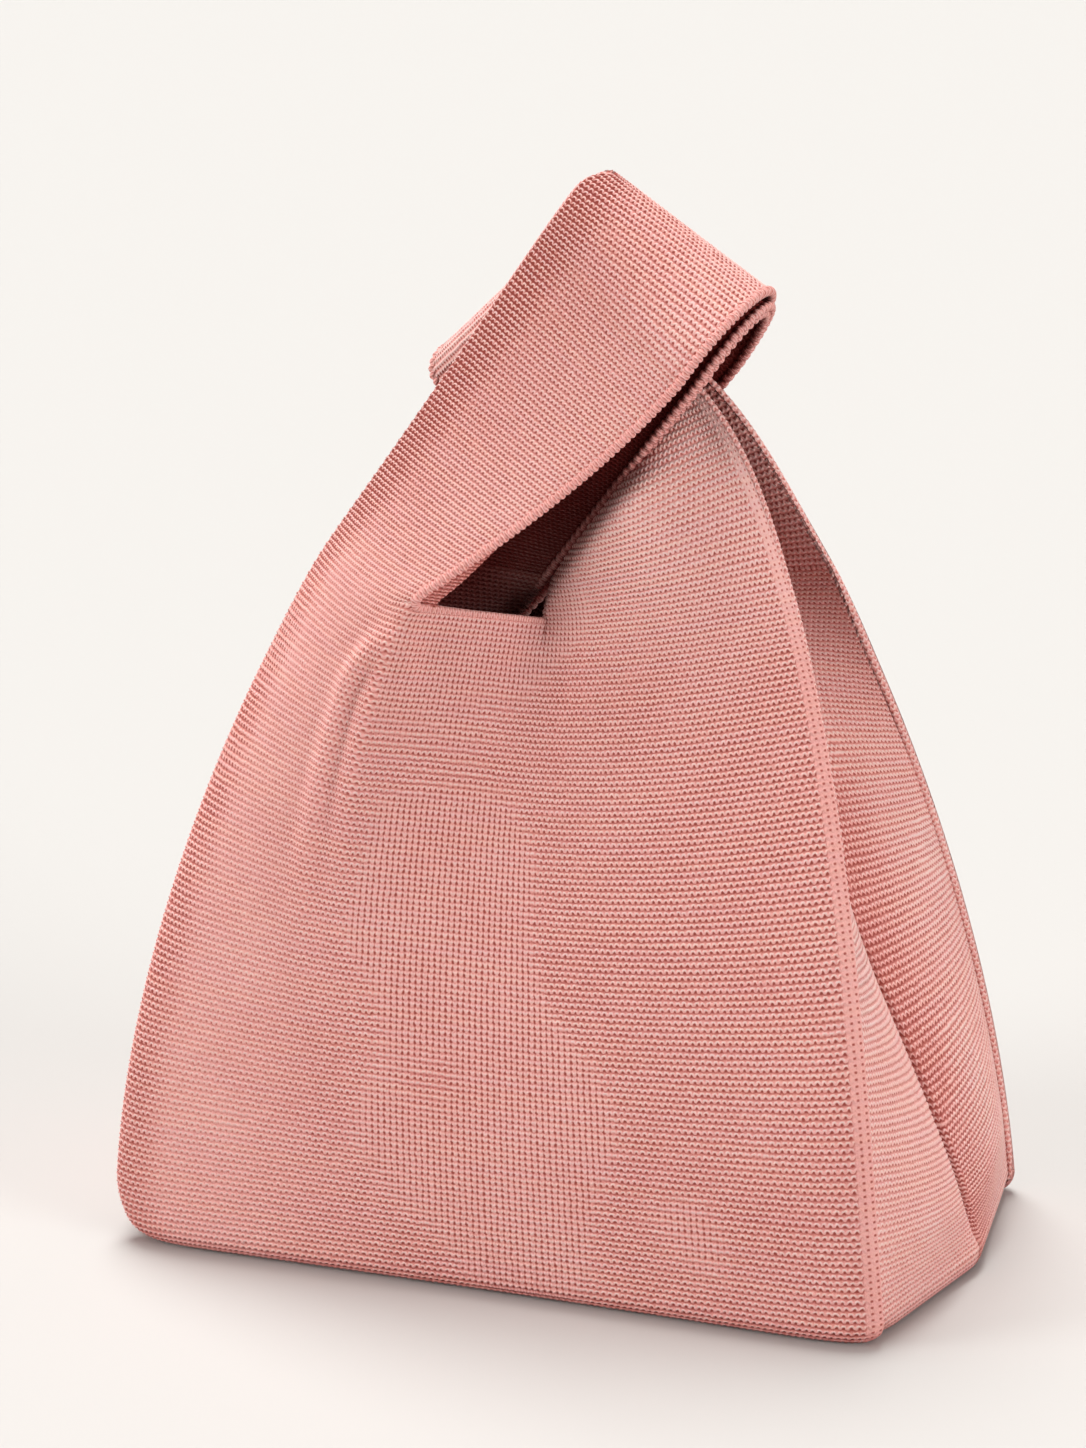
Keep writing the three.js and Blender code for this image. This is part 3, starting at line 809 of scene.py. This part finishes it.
for name, side, column, crown in (
    ("left_gusset", -1, 0, left_inner[0]),
    ("right_gusset", 1, -1, right_inner[0][::-1]),
):
    fold = panel[:, column] - gusset_inset * panel_facing[:, column]
    valley = line_through(
        [
            (side * 161, -0.3, foot_height),
            (side * 149, -1.4, 45),
            (side * 123, -1.4, 103),
            (side * 90, -1.4, 164),
            (side * 42, -3, 217),
            crown[-1],
        ],
        rise,
    )
    start = fold + (crown[0] - fold[-1]) * rise[:, None] ** 4
    lip = valley[:, None] + np.array([0, -lip_depth, 0]) * open_share
    half = mix(start[:, None], lip, mix(half_u[None, :, None], reach, open_share))
    half = half + (crown - mix(crown[0], crown[-1], half_u[:, None]))[None] * v**4
    swell = gusset_fullness * bow(reach) - lip_turn * turned_in**1.5
    half[..., 0] += (side * swell * open_share * ease(0, 0.12, v))[..., 0]
    half[..., 1] += (lip_depth * turned_in * open_share)[..., 0]
    plan = np.gradient(half[foot_row], axis=0)
    out = np.stack([side * plan[:, 1], -side * plan[:, 0], 0 * plan[:, 0]], -1)
    out[:, 1] -= np.linalg.norm(out, axis=1) * np.clip(1 - half_length * half_u / 14, 0, 1) ** 2
    out /= np.linalg.norm(out, axis=1, keepdims=True)
    half[:foot_row] = half[foot_row]
    under = mix(foot_radius, gusset_under, ease(0, 0.2, half_u))[:, None] * out
    half -= (1 - np.cos(tuck))[:, None, None] * under[None]
    half[:foot_row, :, 2] = foot_height - foot_radius * np.sin(tuck)[:foot_row, None]
    half = settled(half)
    valleys[name] = half
    for end, grid, shown, yarn in (
        ("front", half, side, gusset_yarn),
        ("back", mirrored(half), -side, valley_shaded_yarn),
    ):
        piece = knit_layer(f"{name}_{end}_knit", grid, half_wale, row, shown, 0.7, material=yarn)
        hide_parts(f"{name}_{end}")
        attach(piece, "bag")
    line = half[seam_start:gap_row, -1] * np.array([1, 0, 1])
    seam = rope(f"{name}_seam_yarn", line, seam_radius, 8, row[seam_start:gap_row], 2, chain_yarn)
    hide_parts(f"{name}_seam")
    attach(seam, "bag")

# Base: a flat bottom of the same knit, inside the rolled foot of the panels and gussets.
# It is linked to them all round and lies on the floor.
base_wale = np.arange(wales + 1) * 1.0
base_row = np.arange(2 * half_wales + 1) * 1.0
base_middle = 1.6
front_line = panel[0, ::steps_per_wale]
left_line, right_line = (
    np.vstack([edge, mirrored(edge[::-1][1:])])
    for edge in (valleys["left_gusset"][0, ::steps_per_wale], valleys["right_gusset"][0, ::steps_per_wale])
)
s, t = (base_wale / wales)[None, :, None], (base_row / (2 * half_wales))[:, None, None]
corners = mix(mix(front_line[0], front_line[-1], s), mirrored(mix(front_line[0], front_line[-1], s)), t)
front_to_back = mix(front_line[None], mirrored(front_line)[None], t)
left_to_right = mix(left_line[:, None], right_line[:, None], s)
base_grid = front_to_back + left_to_right - corners
base_grid[..., 2] = base_middle
base = knit_layer("base_knit", base_grid, base_wale / 2, base_row / 2 + 0.25, -1, 0.5)
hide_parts("base_panel")
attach(base, "bag")

# Side edges: a rolled column of linked stitches joins each panel and outer handle to its gusset and lining.
# It runs from the base up one side, over the fold of the handle and down the other side.
roll_radius, roll_wave, roll_pitch = 1.6, 0.12, 2.3
roll_step, roll_thin_length = 0.6, 14
roll_smoothing = np.ones(15) / 15


def spaced(path, step):
    length = np.r_[0, np.cumsum(np.linalg.norm(np.diff(path, axis=0), axis=1))]
    at = np.arange(0, length[-1], step)
    return np.stack([np.interp(at, length, path[:, k]) for k in range(3)], -1), at


left_seams = ("front_left_seam", "back_left_seam")
right_seams = ("front_right_seam", "back_right_seam")
for name, column, strap, blend_to, start, end, nodes in (
    ("left_edge_roll", 0, left_strap, "carry_loop", bend_from, bend_to, left_seams),
    ("right_edge_roll", -1, right_strap, "pull_tip", draw_from, draw_to, right_seams),
):
    edge_up = (panel - 0.9 * panel_facing)[foot_row // 2 :, column]
    edge_over = strap[:, column] - 1.5 * facing(strap)[:, column]
    path, at = spaced(np.vstack([edge_up[:-1], edge_over, mirrored(edge_up[:-1][::-1])]), roll_step)
    path[7:-7] = smoothed(path, roll_smoothing)
    thinned = 0.5 + 0.5 * ease(0, roll_thin_length, np.minimum(at, at[-1] - at))[:, None]
    rolled = lambda s, a: thinned * (roll_radius + roll_wave * np.cos(2 * np.pi * s)) + 0 * a
    piece = rope(name, path, rolled, 24, at / roll_pitch, 5, gusset_yarn)
    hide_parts(*nodes)
    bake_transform(piece)

# Neckline and handle edges: the neckline has a thin smooth roll, turned in at its left corner.
# The free edges of the handle layers are a chain of larger stitches in the same yarn.
rim_columns = slice(corner_column, notch_column + 1)
rim = panel[-1, rim_columns] + 0.3 * panel_facing[-1, rim_columns]
chain_step = 0.45
chain_smoothing = np.hanning(13)[1:-1] / np.hanning(13).sum()
facing_length, facing_start, facing_least, facing_most = 110, 12, 0.4, 8.1
facing_lie = np.array([0.72, 0.66, -0.2])
# The facing yarn is the knit made darker: painted shade inside the neckline. The hem yarn darkens more of its
# hollows with painted shade.
facing_yarn = yarn_material("facing_yarn", 0.9, -0.27, (0.3, 0.95), (0.4, 0.17, 0.15))
hem_yarn = yarn_material("hem_yarn", 0.6, 0.03, (0.28, 0.85), (0.3, 0.1, 0.09))


def beside(strap, column, outward, lifted):
    neighbour = 1 if column == 0 else -2
    out = strap[:, column] - strap[:, neighbour]
    out /= np.linalg.norm(out, axis=1, keepdims=True)
    return strap[:, column] + outward * out + lifted * facing(strap)[:, column]


def beads_all_along(line):
    return np.ones(len(line)), np.ones(len(line))


def beads_above_neckline(line):
    return ease(248.5, 252, line[:, 2]), 1.3 + 0.5 * ease(-20, -36, line[:, 0])


def chain(name, path, bead_length, full, beads=beads_all_along, yarn=chain_yarn):
    line, at = spaced(path, chain_step)
    line[5:-5] = smoothed(line, chain_smoothing)
    bead, plain = beads(line)

    def beaded(s, a):
        lumps = full * (0.55 + 0.55 * np.abs(np.sin(np.pi * s / bead_length + 0.6 * np.sin(a))) ** 0.8)
        return mix(plain[:, None] + 0.06 * np.cos(2 * np.pi * s / 2.6), lumps, bead[:, None])

    piece = rope(name, line, beaded, 14, at, 3, yarn)
    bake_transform(piece)


first_edge = beside(left_strap, -1, 0.8, 0.5)
path = np.vstack([rim[::-1][:-1], first_edge[2:-2], mirrored(rim)[1:]])
chain("left_handle_chain", path, 2.6, 1.8, beads_above_neckline)
turned = np.vstack([rim[facing_start:0:-1], left_strap[:facing_length, -1]])
along = np.linspace(-facing_start, facing_length, len(turned)) / facing_length
facing_width = facing_least + facing_most * ease(-0.11, 0.0, along) * (1 - ease(0.05, 1.0, along))
over = np.linspace(0, 1, 7)
strip = turned[:, None] + facing_width[:, None, None] * over[None, :, None] * facing_lie
strip[..., 1] += 0.8
facing_row = np.arange(len(turned)) / steps_per_row
for name, grid, side in (("front_neckline_facing", strip, 1), ("back_neckline_facing", mirrored(strip), -1)):
    corner_facing = knit_layer(name, grid, 4 * over, facing_row, side, 0.6, material=facing_yarn)
    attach(corner_facing, "bag")
left_valley = valleys["left_gusset"][gap_row:, -1]
for name, lifted in (("left_lining_front_chain", 1.5), ("left_lining_back_chain", -1.5)):
    second_edge = beside(left_inner, -1, 0.2, lifted)
    path = np.vstack([left_valley[:-6], second_edge[4:-4], mirrored(left_valley[:-6][::-1])])
    chain(name, path, 3.4, 1.7, yarn=hem_yarn)
chain("right_handle_chain", beside(right_strap, 0, 0.4, 0.3), 2.7, 1.5)
right_valley = valleys["right_gusset"][gap_row:, -1]
path = np.vstack([right_valley[:-1], right_inner[:, 0], mirrored(right_valley[:-1][::-1])])
chain("right_lining_chain", path, 2.7, 1.5)
